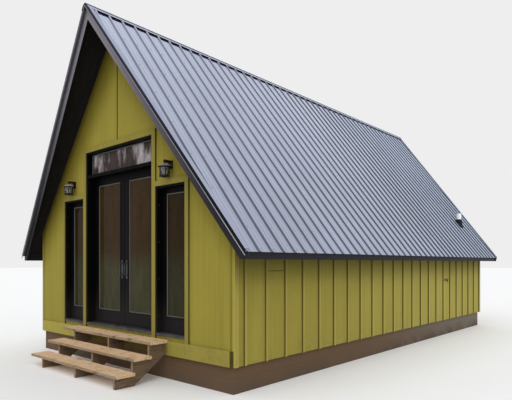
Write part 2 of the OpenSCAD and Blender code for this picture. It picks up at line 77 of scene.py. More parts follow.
class Link:
    """Wraps one node output. Each operator adds the Math node of the same meaning and returns its output."""

    __add__, __radd__ = operator("ADD")
    __sub__, __rsub__ = operator("SUBTRACT")
    __mul__, __rmul__ = operator("MULTIPLY")
    __truediv__, __rtruediv__ = operator("DIVIDE")
    __mod__, __rmod__ = operator("FLOORED_MODULO")
    __gt__ = operator("GREATER_THAN")[0]
    __lt__ = operator("LESS_THAN")[0]

    def __init__(self, graph, output):
        self.graph, self.output = graph, output

    def maths(self, operation, *values, clamp=False):
        """Adds the Math node of this operation on the values, which are links or numbers."""
        settings = {"operation": operation, "use_clamp": clamp}
        return self.graph.add("ShaderNodeMath", settings, dict(enumerate(values)))

    def __abs__(self):
        return self.maths("ABSOLUTE", self)

    def floor(self):
        """The whole number at the value or below it."""
        return self.maths("FLOOR", self)

    def clamp(self):
        """The value, kept between 0 and 1."""
        return self.maths("ADD", self, 0.0, clamp=True)

    def top(self, other):
        """The larger of two values."""
        return self.maths("MAXIMUM", self, other)

    def ramp(self, low, high):
        """0 at low and below, 1 at high and above, a smooth step between; low may be the larger one."""
        inputs = {"Value": self, "From Min": low, "From Max": high}
        return self.graph.add("ShaderNodeMapRange", {"interpolation_type": "SMOOTHSTEP"}, inputs)

# %% A node tree
class Graph:
    """A node tree, empty at first, and the one method that puts nodes into it."""

    def __init__(self, tree):
        self.tree = tree
        tree.nodes.clear()

    def add(self, kind, settings=None, inputs=None, out=0):
        """Adds a node of this type: its settings first, then a value or a link on each named socket."""
        node = self.tree.nodes.new(kind)
        for name, value in (settings or {}).items():
            setattr(node, name, value)
        for key, value in (inputs or {}).items():
            if isinstance(value, Link):
                self.tree.links.new(value.output, node.inputs[key])
            else:
                node.inputs[key].default_value = value
        return Link(self, node.outputs[out])

    def end(self, kind, surface):
        """Adds the output node of this type and links the finished shader to it."""
        node = self.tree.nodes.new(kind)
        self.tree.links.new(surface.output, node.inputs["Surface"])

# %% A material in the making
class Paint(Graph):
    """One material: its shader, and the point of the object that is being painted with its x, y and z."""

    def __init__(self, name, **constants):
        self.material = bpy.data.materials.new(name)
        self.material.use_nodes = True
        super().__init__(self.material.node_tree)
        inputs = {socket.replace("_", " "): value for socket, value in constants.items()}
        surface = self.add("ShaderNodeBsdfPrincipled", inputs=inputs)
        self.shader = surface.output.node
        self.end("ShaderNodeOutputMaterial", surface)
        self.place = self.add("ShaderNodeTexCoord", out="Object")
        self.x, self.y, self.z = self.parts(self.place)
        print("finish", name)

    def parts(self, vector):
        """The three components of a vector."""
        node = self.add("ShaderNodeSeparateXYZ", inputs={0: vector}).output.node
        return [Link(self, output) for output in node.outputs]

    def facing(self, axis):
        """How far the surface faces along one of the object's axes: that component of its normal."""
        return self.parts(self.add("ShaderNodeTexCoord", out="Normal"))[axis]

    def noise(self, scale, stretch=(1, 1, 1), detail=4.0, rough=0.55, shift=0.0):
        """Noise around 0.5 on the object's coordinates, each axis multiplied by stretch."""
        squeeze = tuple(scale * s for s in stretch)
        mapping = {"Vector": self.place, "Location": (shift,) * 3, "Scale": squeeze}
        point = self.add("ShaderNodeMapping", inputs=mapping)
        inputs = {"Vector": point, "Scale": 1.0, "Detail": detail, "Roughness": rough}
        return self.add("ShaderNodeTexNoise", {"normalize": True}, inputs)

    def mix(self, factor, low, high):
        """A colour between low and high."""
        low = tuple(low) + (1,) if isinstance(low, (tuple, list)) else low
        high = tuple(high) + (1,) if isinstance(high, (tuple, list)) else high
        return self.add("ShaderNodeMix", {"data_type": "RGBA"}, {0: factor, 6: low, 7: high}, out=2)

    def tint(self, colour, other):
        """One colour times another, channel by channel."""
        return self.add("ShaderNodeVectorMath", {"operation": "MULTIPLY"}, {0: colour, 1: other})

    def shade(self, colour, value):
        """The colour made darker or lighter: each channel times value."""
        return self.tint(colour, self.add("ShaderNodeCombineXYZ", inputs={0: value, 1: value, 2: value}))

    def set(self, **links):
        """Links a value to each named socket of the shader, with _ for a space in the name."""
        for socket, value in links.items():
            self.tree.links.new(value.output, self.shader.inputs[socket.replace("_", " ")])
        return self

    def bump(self, height, distance, strength):
        """Height in 0..1 stands for distance in metres."""
        inputs = {"Strength": strength, "Distance": distance, "Height": height}
        return self.set(Normal=self.add("ShaderNodeBump", inputs=inputs))

# %% A value that steps from board to board
def board_number(paint, across, width, gap=0.001, fade=0.004):
    """The number of the board that holds the point, and a mask of the joint between two boards.

    The mask is 1 nearer than gap to the line between them and falls to 0 at the distance fade."""
    place = across / width
    number = place.floor()
    off_centre = abs(place - number - 0.5)
    return number, off_centre.ramp(0.5 - fade / width, 0.5 - gap / width)

def own_shade(paint, number, spread):
    """1 give or take spread, another value for each board number."""
    value = paint.add("ShaderNodeTexWhiteNoise", {"noise_dimensions": "1D"}, {"W": number})
    return 1 - spread + value * (2 * spread)

# %% [markdown]
# ## Stained plywood siding
# The walls are sheets of rough-sawn plywood in a moss green stain. Its look has four scales: the fine
# vertical saw grain, softer streaks a hand wide where the veneer took more stain, slow cloudy fading over a
# sheet, and mud splashed up from the ground. All are noise on the object's coordinates, squeezed so that
# grain and streaks run upright. Close under the roof's edges and behind the steps the stain is darkened:
# painted shade. Along the side walls it turns paler and bluer towards the rear. The distance under the
# roof's plane is a plain expression of x and z. A wall is one solid from siding to lining, so the same
# material turns to pine boards on the inside, by where the point lies and not by how the faces were cut.
# The dark lines are masks as well: painted shade beside the corner boards and in the slot between each end
# of the skirt and its corner, and dark joints down the middle of the gable and at one short butt joint on
# the right wall.

# %% Moss green stain
PLAIN = (1.0, 1.0, 1.0)
MOSS = (0.286, 0.238, 0.034)
MOSS_DARK = (0.198, 0.162, 0.018)
MOSS_PALE = (0.352, 0.300, 0.055)
MUD = (0.125, 0.088, 0.040)
steps_low, steps_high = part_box("stair_treads")
steps_x = (steps_low[X] + steps_high[X]) / 2
steps_half = (steps_high[X] - steps_low[X]) / 2
steps_top = steps_high[Z]

def under_roof(paint):
    """How far the point lies below the roof's plane: the plane's height, ridge - rise |x|, less z."""
    return ridge_z - abs(paint.x) * roof_rise - paint.z

def shade_and_rear_tint(paint):
    """A tint: painted shade close under the roof and behind the steps; on the side walls, paler and cooler
    towards the rear.
    """
    under = under_roof(paint)
    open_air = (under + paint.x.ramp(0.8, 2.2) * 0.22).ramp(0.20, 1.15)
    gable = paint.mix(open_air, (0.56, 0.54, 0.34), PLAIN)
    gable = paint.tint(gable, paint.mix(under.ramp(0.02, 0.30), (0.60, 0.60, 0.60), PLAIN))
    beside = abs(paint.x - steps_x).ramp(steps_half + 0.041, steps_half - 0.119)
    shade_behind_steps = beside * paint.z.ramp(steps_top - 0.015, steps_top - 0.115) * (paint.y < 0.0)
    gable = paint.tint(gable, paint.mix(shade_behind_steps, PLAIN, (0.42, 0.38, 0.40)))
    # On the side walls the painted shade reaches further down under the eaves.
    side = paint.mix(under.ramp(0.45, 1.05), (0.50, 0.50, 0.50), PLAIN)
    paler_to_rear = paint.mix(paint.y.ramp(-4.8, 2.0), (1.0, 1.0, 1.15), (1.33, 1.36, 1.95))
    return paint.mix(abs(paint.facing(X)) > 0.5, gable, paint.tint(side, paler_to_rear))

def stained(paint):
    """Returns the stain's colour and the height of its grain."""
    fine = paint.noise(1.0, (260, 260, 5), detail=3, rough=0.6)
    streak = paint.noise(1.0, (22, 22, 0.7), detail=4, shift=3.0)
    cloud = paint.noise(0.8, detail=3, shift=7.0)
    colour = paint.mix(streak.ramp(0.35, 0.75) * 0.35, MOSS, MOSS_DARK)
    colour = paint.mix(fine.ramp(0.52, 0.80) * 0.45, colour, MOSS_PALE)
    colour = paint.shade(colour, 0.86 + cloud * 0.28)
    splash = paint.z.ramp(0.62, 0.34) * paint.noise(14, detail=5, shift=1.0).ramp(0.48, 0.66)
    colour = paint.mix(splash * 0.25, colour, MUD)
    return paint.tint(colour, shade_and_rear_tint(paint)), fine

def pine(paint, number, grain):
    """Plain pine boards: pale wood, darker late-wood lines, and a tone of their own for each board."""
    wood = paint.mix(grain.ramp(0.35, 0.70), (0.50, 0.34, 0.18), (0.36, 0.21, 0.09))
    return paint.shade(wood, own_shade(paint, number, 0.12))

# %% Siding outside, pine lining inside
LINING_BOARD = 0.14
SLAB_MIDDLE = 0.10  # a depth between the two faces of a wall
GABLE_SEAM_X = -0.007
BUTT_Y, BUTT_Z, BUTT_HALF = -3.72, 1.52, 0.17  # the middle of the butt joint, and half its length
corner_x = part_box("skirt_bands")[HIGH][X] + 0.002
skirt_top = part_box("skirt_bands")[HIGH][Z]

siding = Paint("siding_stain", Roughness=0.82, Specular_IOR_Level=0.2)
green, saw = stained(siding)
across = abs(siding.x)
inside = (siding.y > front_y + SLAB_MIDDLE) * (siding.y < rear_y - SLAB_MIDDLE)
inside = inside * (across < wall_x - SLAB_MIDDLE)
board, joint = board_number(siding, siding.x + siding.y, LINING_BOARD)
boards = siding.shade(pine(siding, board, siding.noise(1.0, (40, 40, 1.5), detail=5)), 1 - joint * 0.7)

# Painted shade: a dark line beside each corner board, and the slot between the skirt's end and the corner.
corner = abs(across - corner_x).ramp(0.009, 0.004).top((across > corner_x) * (siding.z < skirt_top))
corner = corner * (siding.y < front_y + 0.001)
butt = abs(siding.z - BUTT_Z).ramp(0.006, 0.003) * abs(siding.y - BUTT_Y).ramp(BUTT_HALF, BUTT_HALF - 0.01)
butt = butt * (siding.x > wall_x - 0.05)
seam = abs(siding.x - GABLE_SEAM_X).ramp(0.012, 0.008) * (siding.z > 3.5) * (siding.y < 0.0)
# The painted shade at the corners and the two dark joints, together in one mask.
gap = (corner * 0.75).top(butt * 0.6).top(seam * 0.85)
siding.set(Base_Color=siding.mix(inside, siding.shade(green, 1 - gap), boards))
siding.bump(saw * (1 - inside) + (1 - joint) * inside, 0.0012, 0.6)

# %% Boards in the same stain, with painted shade on the side faces of battens and boards
trim = Paint("trim_stain", Roughness=0.78, Specular_IOR_Level=0.2)
green, saw = stained(trim)
# Painted shade: the battens' faces that look to the front, and the front boards' faces that look to the
# right.
batten_side_shade = (trim.facing(Y) < -0.7) * (trim.y > front_y + 0.01)
board_side_shade = (trim.facing(X) > 0.7) * (trim.y < front_y - 0.001)
over_skirt = trim.z > skirt_top + 0.001
doorway = (abs(trim.x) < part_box("front_trim")[HIGH][X] + 0.07) * over_skirt
skirt = (abs(trim.x) < corner_x + 0.003) * (1 - over_skirt) * trim.x.ramp(-1.5, 2.0)
# Faces that look along X get a little painted shade.
tone = 1.26 - doorway * 0.40 - skirt * 0.25 - (abs(trim.facing(X)) > 0.7) * 0.10
green = trim.tint(trim.shade(green, tone), (1.0, 1.0, 1.30))
trim.set(Base_Color=trim.shade(green, 1 - (batten_side_shade + board_side_shade).clamp() * 0.62))
trim.bump(saw, 0.0010, 0.5)

# %% [markdown]
# ## Ribbed roof sheet
# The sheet is coated steel. Its flats look pale because they mirror the sky, and the flanks of the ribs
# look dark because they mirror what stands around. A studio has nothing dark around it, so the coating
# itself is given both tones as painted reflections: the normal's Y component tells a flank from a flat, on
# the main ribs and, half as strong, on the low ribs between them. A band beside each rib lies in its shade
# and gets the same dark tone, painted shade, and the remainder of y over whole ribs finds it. The flanks
# turn paler towards the front and the ridge. Rain leaves faint streaks that run down the slope, so that
# noise is squeezed along X and Z. Under the cap's edge the flats between the ribs get painted shade. The
# ridge cap has the same coating, and its dark lines are painted shade in the creases beside its two beads
# and along its crest.

# %% Coated steel
SHEET = (0.395, 0.425, 0.535)
FLANGE = (0.332, 0.360, 0.462)
PAINTED_SHADE = (0.006, 0.006, 0.012)
RIB, FIRST_RIB = 0.2286, 0.030  # from rib to rib, and from the front siding to the middle of the first one
BEAD_INNER, BEAD_OUTER = 0.043, 0.069  # the two sides of the cap's bead, from the ridge
cap_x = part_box("ridge_cap")[HIGH][X]

def ribbed_tones(paint):
    """Painted reflections: pale flats and dark flanks; painted shade in a band beside each rib and on the
    flats between the ribs under the cap's edge.
    """
    across = abs(paint.x)
    from_rib = (paint.y - front_y - FIRST_RIB + RIB / 2) % RIB - RIB / 2
    wider = paint.y.ramp(-1.5, 3.0) * 0.007
    band = (from_rib + wider).ramp(-0.046, -0.038) * (from_rib - wider).ramp(-0.006, -0.012)
    lit = paint.y.ramp(1.8, -5.0) * (0.62 + paint.z.ramp(2.3, 4.3) * 0.38)
    flank = paint.mix(lit, (0.025, 0.033, 0.055), (0.168, 0.184, 0.235))
    dark = abs(paint.facing(Y)).ramp(0.30, 0.80).top(band * (across > cap_x))
    # Painted shade on the flats between the ribs, under the cap's edge.
    cap_edge_shade = (across < cap_x + 0.023) * (abs(from_rib) > 0.020)
    return paint.mix(cap_edge_shade, paint.mix(dark, SHEET, flank), PAINTED_SHADE)

def cap_tones(paint):
    """The sheet's tone with lines of painted shade: one on each side of a bead, and one along the crest."""
    across = abs(paint.x)
    bead = abs(across - BEAD_INNER).ramp(0.009, 0.006).top(abs(across - BEAD_OUTER).ramp(0.006, 0.003))
    return paint.mix(bead.top(across.ramp(0.012, 0.008)), SHEET, PAINTED_SHADE)

def sheet_metal(name, tones, shine):
    """Coated sheet: its tones under rain streaks, grainy dust and slow clouds, grey below, slightly wavy.

    A painted sheen makes it lighter towards the ridge and the front peak, darker towards the front gable,
    and paler and bluer towards the rear.
    """
    paint = Paint(name, Specular_IOR_Level=shine)
    streak = paint.noise(1.0, (0.5, 55, 0.5), detail=4, rough=0.6)
    cloud = paint.noise(0.9, (1, 1, 0.4), detail=3, shift=4.0)
    dust = paint.noise(38, detail=3, rough=0.7, shift=8.0)
    # Painted sheen: lighter towards the ridge and at the front peak.
    height = paint.z.ramp(2.2, 5.2) * 0.20
    front_peak_sheen = paint.z.ramp(4.2, 5.4) * paint.y.ramp(-3.0, -5.0) * 0.08
    weather_and_sheen = 0.72 + streak * 0.18 + cloud * 0.32 + dust * 0.14 + height + front_peak_sheen
    colour = paint.shade(tones(paint), weather_and_sheen)
    # Painted sheen: darker towards the front gable, paler and bluer towards the rear.
    colour = paint.tint(colour, paint.mix(paint.y.ramp(-4.5, 0.5), (0.86, 0.86, 0.88), PLAIN))
    colour = paint.tint(colour, paint.mix(paint.y.ramp(0.5, 4.0), PLAIN, (1.02, 1.08, 1.10)))
    colour = paint.mix(paint.facing(Z) < 0.0, colour, (0.09, 0.09, 0.10))
    paint.set(Base_Color=colour, Roughness=0.30 + streak * 0.16)
    wave = paint.noise(1.0, (1.2, 9.0, 1.2), detail=2, shift=2.0)
    return paint.bump(wave, 0.004, 0.35)

roof_metal = sheet_metal("roof_coating", ribbed_tones, shine=0.18)
cap_metal = sheet_metal("cap_coating", cap_tones, shine=0.02)

# %% Folded trim: upper flange with painted sky reflection, nearly black face, pale hem at its foot
fold = Paint("trim_coating", Specular_IOR_Level=0.06)
worn = fold.noise(30, detail=4)
# Painted light: the face turns lighter up the slope.
face = fold.mix(fold.z.ramp(2.2, 4.8), (0.006, 0.007, 0.012), (0.026, 0.026, 0.044))
colour = fold.mix(fold.facing(Z).ramp(0.30, 0.55), fold.shade(face, 0.7 + worn * 0.6), FLANGE)
foot = under_roof(fold).ramp(0.032, 0.036)
hem = fold.mix(fold.z.ramp(2.7, 2.0), (0.28, 0.27, 0.31), (0.40, 0.41, 0.44))
fold.set(Base_Color=fold.mix(foot, colour, hem), Roughness=0.32 + worn * 0.2)

# %% [markdown]
# ## Dark timber: rake boards, eaves and the deck under the overhang
# These boards are charcoal paint on sawn wood. Towards the ridge they are painted lighter, up to a warm
# grey: painted light. Lower down they stay dark, and faces that look at the ground are darker still: painted
# shade. Height fades one tone into the other. The deck's underside is stained black, in sheets with a joint
# every 1.22 m. A gradient texture could make the fade, but a ramp on z is one expression and its two heights
# can be read in metres.

# %% Charcoal paint
charcoal = Paint("charcoal_paint", Specular_IOR_Level=0.1)
grain = charcoal.noise(1.0, (45, 18, 18), detail=6, rough=0.65)
lit_towards_ridge = charcoal.z.ramp(2.0, 5.4) * 0.90
colour = charcoal.mix(lit_towards_ridge, (0.019, 0.018, 0.022), (0.235, 0.220, 0.250))
# Painted shade: faces that look at the ground are nearly black.
colour = charcoal.mix(charcoal.facing(Z) < -0.2, colour, (0.005, 0.0045, 0.004))
charcoal.set(Base_Color=charcoal.shade(colour, 0.8 + grain * 0.4), Roughness=0.48 + grain * 0.2)
charcoal.bump(grain, 0.0008, 0.5)

# %% Black-stained deck
DECK_SHEET, DECK_START = 1.22, -0.30
deck = Paint("deck_stain", Roughness=0.75, Specular_IOR_Level=0.1)
sheet, joint = board_number(deck, deck.y - DECK_START, DECK_SHEET)
grain = deck.noise(1.0, (3, 60, 3), detail=5)
colour = deck.mix(grain.ramp(0.3, 0.8), (0.0092, 0.0084, 0.0080), (0.0200, 0.0180, 0.0170))
deck.set(Base_Color=deck.shade(colour, own_shade(deck, sheet, 0.15) * (1 - joint * 0.7)))
deck.bump(grain, 0.0008, 0.5)

# %% [markdown]
# ## Doors, side lights and their glass
# Frame and leaves are black satin paint. The frame stands in the shade of its reveal, and that shade is
# painted into its tone, which is nearly black; the leaves are a little lighter, with dust gathered on their
# lower rails. Behind the dusty panes lies a dark room. Clear glass would show it as plain black, so a pane
# is a dark glossy film that lets only a trace of the room through. Its tint goes from brown above to olive
# below, a painted reflection, and the transom is streaked with pale patches, painted reflection as well.

# %% Satin black paint
def satin_black(name, tone, dust):
    """Black paint of one tone; dust gathers towards the bottom of the doorway."""
    paint = Paint(name, Specular_IOR_Level=0.04)
    smear = paint.noise(1.0, (30, 30, 6), detail=5, rough=0.6)
    low = paint.z.ramp(1.35, 0.60) * (0.35 + smear * 0.65)
    colour = paint.mix(low * dust, tone, (0.044, 0.038, 0.036))
    paint.set(Base_Color=colour, Roughness=0.34 + smear * 0.22)
    return paint.bump(smear, 0.0005, 0.3)

door_paint = satin_black("door_paint", (0.0028, 0.0027, 0.0034), 0.45)
# The frame's lower tone is painted shade.
frame_paint = satin_black("frame_paint", (0.0024, 0.0021, 0.0024), 0.25)

# %% Glazing: the side lights' panes, past the doorway's edge, are darker than the doors'
doorway_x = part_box("door_frame")[HIGH][X]
door_pane_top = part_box("left_door_glass")[HIGH][Z]
transom_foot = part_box("transom_glass")[LOW][Z]
glazing = Paint("window_glass", Specular_IOR_Level=0.04, IOR=1.5)
film = glazing.noise(1.0, (9, 9, 2.2), detail=5, rough=0.6)
fleck = glazing.noise(1.0, (30, 30, 14), detail=4, rough=0.7, shift=2.0)
# Painted reflection: brown above, olive below.
upper = (glazing.z + film * 0.5).ramp(1.75, 2.15)
colour = glazing.mix(upper, (0.043, 0.040, 0.0180), (0.036, 0.0205, 0.0072))
# Painted reflection: the transom's pale streaks.
cloudy = glazing.noise(1.0, (3.2, 3.2, 1.2), detail=5, rough=0.6, shift=7.0).ramp(0.44, 0.60)
transom = glazing.mix(cloudy, (0.042, 0.030, 0.025), (0.370, 0.335, 0.345))
colour = glazing.mix(glazing.z.ramp(door_pane_top + 0.025, transom_foot + 0.05), colour, transom)
beside = (abs(glazing.x) > doorway_x + 0.03) * 0.34
tone = (film * 1.1 + fleck * 0.9) * (1 - beside)
glazing.set(Base_Color=glazing.shade(colour, tone), Alpha=0.985 + film * 0.015, Roughness=0.02 + film * 0.05)

# %% Glazing bead and sill metal
bead_paint = Paint("bead_plastic", Roughness=0.5)
scuff = bead_paint.noise(60, detail=3)
bead_paint.set(Base_Color=bead_paint.mix(scuff, (0.046, 0.050, 0.038), (0.074, 0.078, 0.060)))

SILL_GROOVES = 60.0  # grooves to a metre of depth
sill_metal = Paint("sill_metal", Metallic=0.35, Specular_IOR_Level=0.3)
scratch = sill_metal.noise(1.0, (4, 220, 220), detail=4)
dirt = sill_metal.noise(9, detail=6, rough=0.65, shift=5.0).ramp(0.42, 0.66)
colour = sill_metal.mix(dirt * 0.75, (0.078, 0.074, 0.084), (0.036, 0.029, 0.026))
sill_metal.set(Base_Color=sill_metal.shade(colour, 0.8 + scratch * 0.4), Roughness=0.38 + dirt * 0.3)
sill_metal.bump((sill_metal.y * SILL_GROOVES) % 1.0, 0.0012, 0.4)

# %% [markdown]
# ## Fittings
# Handles and lanterns are black coated castings with a slightly sandy skin. Hands have rubbed the pulls to
# a paler grey, and on the lanterns what faces up, such as the hoods, is a pale mauve grey. The lantern
# glass is frosted and seeded with small bubbles. The vent is a white plastic pipe in a rubber boot, and the
# closures are black foam. These pieces are small in any picture, so two layers are enough for each: a tone
# that varies, and a bump or a roughness that goes with it.

# %% Castings
def casting(name, tone, roughness, pale_top=0.0):
    """A coated casting: sandy bumps, patches where hands have polished it, and a pale mauve grey on what
    faces up.
    """
    paint = Paint(name, Specular_IOR_Level=0.2)
    rubbed = paint.noise(25, detail=4, shift=2.0).ramp(0.45, 0.75)
    colour = paint.mix(rubbed * 0.5, tone, tuple(3.2 * c for c in tone))
    colour = paint.mix(paint.facing(Z).ramp(0.25, 0.65) * pale_top, colour, (0.300, 0.265, 0.280))
    paint.set(Base_Color=colour, Roughness=roughness - rubbed * 0.12)
    sand = paint.noise(700, detail=2)
    return paint.bump(sand, 0.0004, 0.35)

hardware = casting("handle_coating", (0.034, 0.034, 0.038), 0.36)
iron = casting("lantern_coating", (0.006, 0.005, 0.005), 0.50, pale_top=0.85)

# %% Lantern glass, pipe plastic, foam and rubber
seeded = Paint("seeded_glass", Roughness=0.35)
bubble = seeded.add("ShaderNodeTexVoronoi", {"feature": "F1"}, {"Vector": seeded.place, "Scale": 240.0})
seeded.set(Base_Color=seeded.mix(bubble.ramp(0.1, 0.5), (0.170, 0.170, 0.115), (0.250, 0.250, 0.180)),
           Alpha=0.80 + bubble * 0.2)
seeded.bump(bubble, 0.0008, 0.5)

plastic = Paint("pipe_plastic", Roughness=0.4)
grime = plastic.noise(1.0, (40, 40, 8), detail=5)
plastic.set(Base_Color=plastic.mix(grime.ramp(0.45, 0.8) * 0.5, (0.87, 0.88, 0.92), (0.56, 0.56, 0.56)))

foam = Paint("closure_foam", Roughness=0.95, Specular_IOR_Level=0.05)
cell = foam.noise(400, detail=3)
foam.set(Base_Color=foam.mix(cell, (0.004, 0.004, 0.006), (0.012, 0.012, 0.016)))

rubber = Paint("boot_rubber", Specular_IOR_Level=0.2)
chalk = rubber.noise(30, detail=5)
rubber.set(Base_Color=rubber.mix(chalk.ramp(0.4, 0.8), (0.009, 0.009, 0.013), (0.026, 0.026, 0.034)),
           Roughness=0.6 + chalk * 0.25)

# %% [markdown]
# ## Timber that carries: steps, floor and joists
# The steps are bare softwood planks, tan with grey weather, trodden mud and checks that follow the grain.
# Treads run along X and stringers along Y, so the same finish takes its grain direction as a parameter. On
# the sawn ends the rings show as dark spots: the end is found by the normal that points along the grain.
# The faces towards the steps' foot have a tone of their own: darker on the treads, painted shade, and
# paler on the stringers, whose other faces are darker from weather and from painted shade.

# %% Weathered planks
def planks(name, stretch, along, dirt, tone, front=1.0):
    """Bare planks; stretch squeezes the noise into grain, along is the axis of the grain.

    tone scales the whole colour, and front scales again the faces that look towards the steps' foot."""
    paint = Paint(name, Specular_IOR_Level=0.25)
    grain = paint.noise(1.0, stretch, detail=6, rough=0.62)
    check = paint.noise(2.2, stretch, detail=3, shift=9.0).ramp(0.64, 0.72)
    wear = paint.noise(3.2, detail=5, shift=2.0)
    mud = paint.noise(5.5, detail=7, rough=0.68, shift=6.0).ramp(0.52, 0.68)
    ring = paint.noise(55, detail=2, shift=4.0).ramp(0.4, 0.6)
    end = abs(paint.facing(along)).ramp(0.6, 0.9)
    colour = paint.mix(grain.ramp(0.32, 0.70), (0.655, 0.455, 0.280), (0.440, 0.288, 0.162))
    colour = paint.mix(wear.ramp(0.45, 0.75) * 0.45, colour, (0.56, 0.48, 0.38))
    tone = tone + (paint.facing(Y) < -0.7) * (tone * (front - 1.0))
    colour = paint.shade(paint.mix(mud * dirt, colour, (0.130, 0.088, 0.052)), tone)
    colour = paint.mix(check * 0.75, colour, (0.050, 0.035, 0.025))
    colour = paint.mix(end * ring * 0.5, colour, paint.shade(colour, 0.45))
    paint.set(Base_Color=colour, Roughness=0.70 + wear * 0.2)
    return paint.bump(grain * 0.6 - check, 0.0015, 0.6)

# The treads' front faces at 0.42 get painted shade; the stringers' low tone of 0.26 is weather and painted
# shade, and their front faces at 2.1 keep part of the light.
tread_wood = planks("tread_planks", (1.6, 70, 70), X, 0.75, 1.30, front=0.42)
stringer_wood = planks("stringer_planks", (60, 2.5, 40), Y, 0.75, 0.26, front=2.1)
joist_wood = planks("joist_planks", (1.5, 60, 60), X, 0.15, 0.75)
rim_wood = planks("rim_planks", (60, 1.5, 60), Y, 0.15, 0.75)

# %% Floor boards and the lining of the roof slabs
FLOOR_BOARD = 0.13
floor_boards = Paint("floor_boards", Roughness=0.4, Coat_Weight=0.2)
board, joint = board_number(floor_boards, floor_boards.x, FLOOR_BOARD)
grain = floor_boards.noise(1.0, (45, 1.2, 45), detail=6)
wood = floor_boards.mix(grain.ramp(0.3, 0.7), (0.34, 0.21, 0.11), (0.22, 0.125, 0.055))
wood = floor_boards.shade(wood, own_shade(floor_boards, board, 0.16) * (1 - joint * 0.8))
floor_boards.set(Base_Color=wood).bump(1 - joint, 0.002, 0.6)

lining = Paint("pine_lining", Roughness=0.55)
up_slope = lining.z * math.hypot(1, 1 / roof_rise)
board, joint = board_number(lining, up_slope, LINING_BOARD)
wood = pine(lining, board, lining.noise(1.0, (40, 1.5, 40), detail=5))
lining.set(Base_Color=lining.shade(wood, 1 - joint * 0.7)).bump(1 - joint, 0.002, 0.6)

# %% Foundation walls: block courses, each set on by half a block
COURSE, BLOCK = 0.19, 0.40
foundation = Paint("foundation_blocks", Roughness=0.9)
course, bed = board_number(foundation, foundation.z, COURSE)
_, head = board_number(foundation, foundation.x + foundation.y + course * (BLOCK / 2), BLOCK)
pores = foundation.noise(60, detail=6, rough=0.7)
soil = foundation.noise(3.0, detail=6, shift=3.0)
colour = foundation.mix(foundation.y.ramp(-2.5, 4.0), (0.108, 0.060, 0.028), (0.150, 0.122, 0.092))
colour = foundation.mix(foundation.z.ramp(0.26, 0.02) * soil.ramp(0.35, 0.6), colour, (0.085, 0.055, 0.032))
mortar = bed.top(head)
foundation.set(Base_Color=foundation.shade(colour, (0.7 + pores * 0.6) * (1 - mortar * 0.25)))
foundation.bump(pores - mortar * 0.5, 0.004, 0.6)

# %% [markdown]
# ## Giving each CAD node its finish
# A node keeps its mesh and its place; only the material in its slot changes. Faces could be given materials
# one by one, but the finishes above already tell outside from inside by themselves, so one finish for each
# node is enough and a single dictionary shows them all.

# %% Finishes by node
finishes = {
    siding: ["front_wall_left", "front_wall_right", "front_wall_top", "front_wall_base", "rear_wall",
             "left_wall", "right_wall"],
    trim: ["wall_battens", "skirt_bands", "front_trim"],
    roof_metal: ["left_roof_sheet", "right_roof_sheet"], cap_metal: ["ridge_cap"],
    fold: ["rake_flashings"],
    charcoal: ["front_rake_boards", "rear_rake_boards", "eaves"],
    deck: ["left_roof_deck", "right_roof_deck"],
    lining: ["left_roof_frame", "right_roof_frame"],
    floor_boards: ["floor"], joist_wood: ["floor_joists"], rim_wood: ["rim_boards"],
    foundation: ["foundation_ends", "foundation_sides"],
    frame_paint: ["door_frame"],
    door_paint: ["left_door_leaf", "right_door_leaf", "side_lights"],
    glazing: ["transom_glass", "left_door_glass", "right_door_glass", "side_light_glass"],
    sill_metal: ["sills"],
    hardware: ["left_door_hardware", "right_door_hardware", "wall_tap"],
    iron: ["lanterns"], seeded: ["lantern_glass"],
    plastic: ["vent_pipe"], rubber: ["vent_boot"],
    tread_wood: ["stair_treads"], stringer_wood: ["stair_stringers"],
}
for paint, names in finishes.items():
    for name in names:
        materials = nodes[name].data.materials
        materials.clear()
        materials.append(paint.material)
left = set(nodes) - {name for names in finishes.values() for name in names}
print("finishes on", len(nodes) - len(left), "nodes, without one:", sorted(left))

# %% [markdown]
# ## Surfaces from arrays
# Each added piece is a surface worked out in numpy. A grid of points in two parameters becomes quads,
# closed round either way where it should be. The signed volume tells whether the faces of a closed surface
# point outwards: the sum over its triangles of a corner's dot product with the cross product of the other
# two is positive then.

# %% Grids of points to meshes
def grid_quads(rows, columns, close_rows=False, close_columns=False):
    """Corner numbers of the quads of a rows x columns grid, wrapped round where it is closed."""
    i = np.arange(rows if close_rows else rows - 1)
    j = np.arange(columns if close_columns else columns - 1)
    a, b = np.meshgrid(i, j, indexing="ij")
    c, d = (a + 1) % rows, (b + 1) % columns
    return np.stack([a * columns + b, c * columns + b, c * columns + d, a * columns + d], -1).reshape(-1, 4)

def outward(points, quads):
    """Turns all quads round if the volume they enclose comes out negative."""
    p = points[quads]
    volume = np.einsum("ij,ij->", p[:, 0], np.cross(p[:, 1], p[:, 2]) + np.cross(p[:, 2], p[:, 3]))
    return quads if volume > 0 else quads[:, ::-1]

def circle(count):
    """Points of the unit circle in the level plane: (cos t, sin t, 0), and their angles t."""
    turn = np.arange(count) * 2 * np.pi / count
    return np.stack([np.cos(turn), np.sin(turn), 0 * turn], -1), turn

# %% Turned shapes, copies and joined shapes
def lathe(radii, heights, sides):
    """A closed turned shape: each (radius, height) pair goes round Z; the end radii are nearly nothing."""
    ring, _ = circle(sides)
    points = np.asarray(radii)[:, None, None] * ring + np.asarray(heights)[:, None, None] * [0, 0, 1]
    points = points.reshape(-1, 3)
    return points, outward(points, grid_quads(len(radii), sides, close_columns=True))

def repeat(shape, places, bases):
    """Copies of a shape: each point times its copy's 3 x 3 basis, plus its place."""
    points, quads = shape
    copies = np.einsum("pk,nkj->npj", points, np.broadcast_to(bases, (len(places), 3, 3))) + places[:, None]
    numbers = quads[None] + (np.arange(len(places)) * len(points))[:, None, None]
    return copies.reshape(-1, 3), numbers.reshape(-1, 4)

